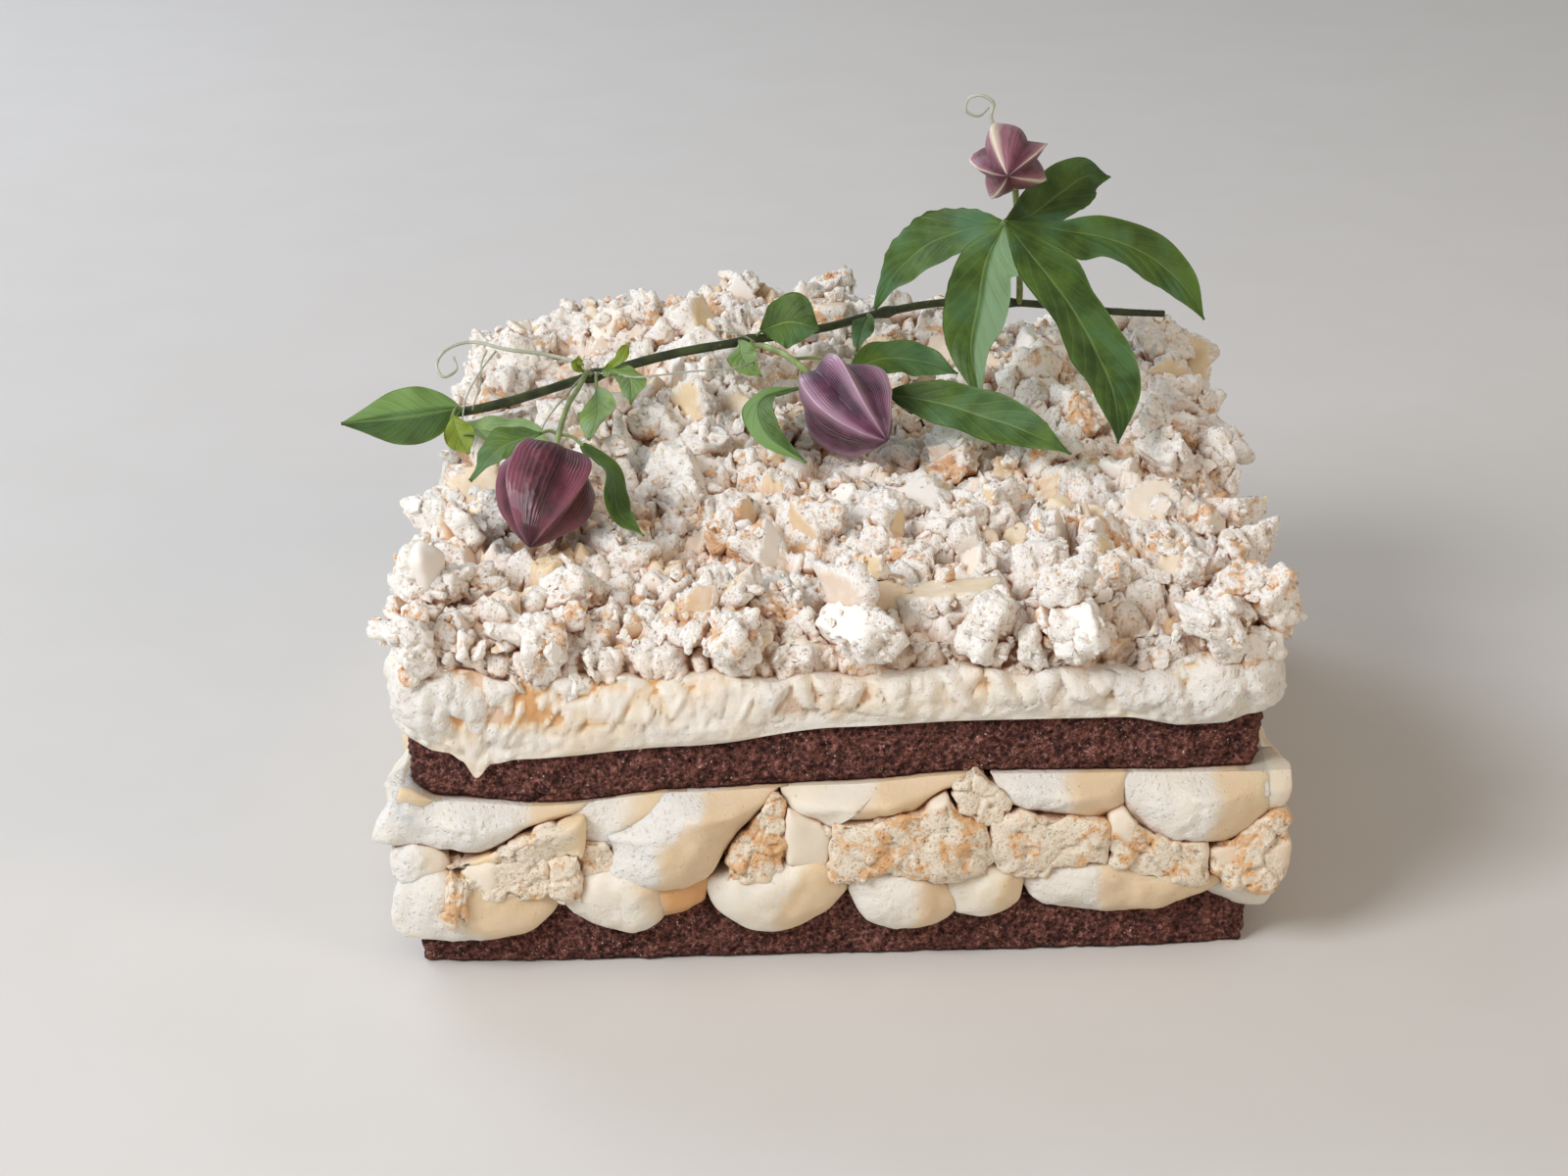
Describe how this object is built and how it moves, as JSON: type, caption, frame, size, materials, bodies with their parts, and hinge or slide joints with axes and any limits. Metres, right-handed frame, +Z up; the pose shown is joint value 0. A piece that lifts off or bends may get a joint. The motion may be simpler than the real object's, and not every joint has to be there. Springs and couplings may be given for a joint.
{
  "type": "meringue layer cake",
  "caption": "Rectangular chocolate layer cake with cream and broken meringue between its sponges, heaped with crushed meringue, a sprig of flowering vine laid across it.",
  "frame": {"origin": "middle of the lower sponge's flat underside", "axes": "+X to the right along the shown front, +Y from the front to the back, +Z up"},
  "size_m": [0.2363, 0.2336, 0.1678],
  "materials": {
    "sponge": "dark moist crumb, dull, with small pores",
    "cream": "whipped ivory cream, soft satin",
    "filling": "broken baked meringue, dry and porous, tan in its breaks",
    "meringue": "crushed baked meringue, dry, chalky shells over a porous inside",
    "stem": "dark green bark, slightly waxy",
    "stalk": "pale green, slightly waxy",
    "leaf": "mid green leaf, satin, veined",
    "pale_leaf": "young pale green leaf, satin, veined",
    "bud": "pleated purple petals, satin and a little wet"
  },
  "bodies": {
    "root": {"sponge_lower": "sponge", "cream_lower": "cream", "filling_meringue": "filling", "cream_upper": "cream", "sponge_upper": "sponge", "cream_top": "cream", "meringue_heap": "meringue", "stem": "stem", "stalk_bud_left": "stalk", "stalk_bud_middle": "stalk", "stalk_bud_top": "stalk", "stalk_lobed_leaf": "stalk", "tendril_left": "stalk", "tendril_top": "stalk", "bud_left": "bud", "bud_middle": "bud", "bud_top": "bud", "leaf_left_end": "leaf", "leaf_left_low": "leaf", "leaf_pale": "pale_leaf", "leaflet_left": "pale_leaf", "bract_left": "leaf", "bract_right": "leaf", "leaf_round": "leaf", "leaflet_middle": "pale_leaf", "leaf_small": "leaf", "bract_middle": "leaf", "leaf_upper": "leaf", "leaf_long": "leaf", "leaf_five_lobed": "leaf"}
  },
  "joints": []
}
